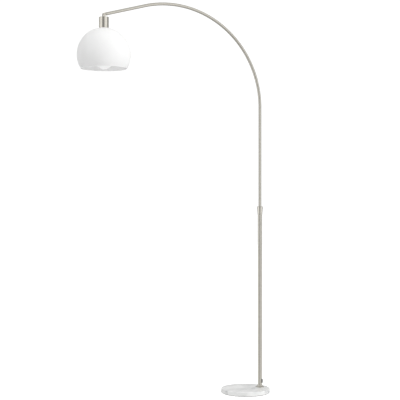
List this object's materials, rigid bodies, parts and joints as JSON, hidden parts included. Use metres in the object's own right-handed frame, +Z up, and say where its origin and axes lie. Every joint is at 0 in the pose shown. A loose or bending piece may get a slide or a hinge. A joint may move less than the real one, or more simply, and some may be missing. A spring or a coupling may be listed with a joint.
{
  "type": "arc floor lamp",
  "caption": "Arc floor lamp: round marble base, telescoping pole, bent arc tube and an open globe shade that tilts on a friction pivot.",
  "frame": {"origin": "centre of the round base, on the floor", "axes": "+Z up; the arc reaches from the pole towards -X; Y runs across the arc's plane"},
  "size_m": [0.8767, 0.228, 1.7075],
  "materials": {
    "brushed_nickel": "satin brushed nickel plate",
    "marble": "polished white marble with grey veins",
    "cast_iron": "raw casting, painted black",
    "zinc_steel": "bright zinc plate",
    "black_rubber": "matt",
    "lead_sheath": "matt vinyl",
    "nylon": "natural nylon",
    "opal_acrylic": "glossy white opal",
    "phenolic": "moulded black phenolic",
    "ceramic": "unglazed",
    "brass": "bare",
    "opal_glass": "glossy opal",
    "bulb_aluminium": "rolled thread"
  },
  "bodies": {
    "stand": {"base_pad": "black_rubber", "ballast_plate": "cast_iron", "marble_base": "marble", "bolt_washer": "zinc_steel", "clamp_bolt": "zinc_steel", "foot_flange": "brushed_nickel", "pole_insert": "zinc_steel", "lower_pole": "brushed_nickel", "cord_bushing": "black_rubber", "pole_lead": "lead_sheath", "collet": "nylon"},
    "collar": {"lock_collar": "brushed_nickel"},
    "slider": {"guide_bush": "nylon"},
    "arm": {"bush_clips": "zinc_steel", "upper_rod": "brushed_nickel", "rod_coupler": "zinc_steel", "arc_tube": "brushed_nickel", "arc_end_tongue": "brushed_nickel", "arm_lead": "lead_sheath"},
    "head": {"head_fork": "brushed_nickel", "friction_washers": "nylon", "pivot_screw": "brushed_nickel", "pivot_nut": "brushed_nickel", "nipple": "zinc_steel", "socket_cap": "brushed_nickel", "shade": "opal_acrylic", "shade_washer": "black_rubber", "shade_nut": "zinc_steel", "head_lead": "lead_sheath", "holder_cap": "phenolic", "holder_body": "phenolic", "terminal_block": "ceramic", "screw_shell": "brass", "centre_contact": "brass", "bulb_globe": "opal_glass", "bulb_screw_cap": "bulb_aluminium", "bulb_insulator": "phenolic", "bulb_contact": "bulb_aluminium"}
  },
  "joints": [
    {"name": "collar_twist", "type": "hinge", "parent": "stand", "child": "collar", "pos_m": [0.071, 0, 0.8085], "axis": [0, 0, 1], "range_deg": [0, 120]},
    {"name": "height_slide", "type": "slide", "parent": "stand", "child": "slider", "axis": [0, 0, 1], "range_m": [-0.4, 0], "deforming": ["pole_lead"]},
    {"name": "arm_swivel", "type": "hinge", "parent": "slider", "child": "arm", "pos_m": [0.071, 0, 0.78], "axis": [0, 0, 1], "range_deg": [-45, 45]},
    {"name": "head_tilt", "type": "hinge", "parent": "arm", "child": "head", "pos_m": [-0.6547, 0, 1.63785], "axis": [0, 1, 0], "range_deg": [-20, 60]}
  ]
}
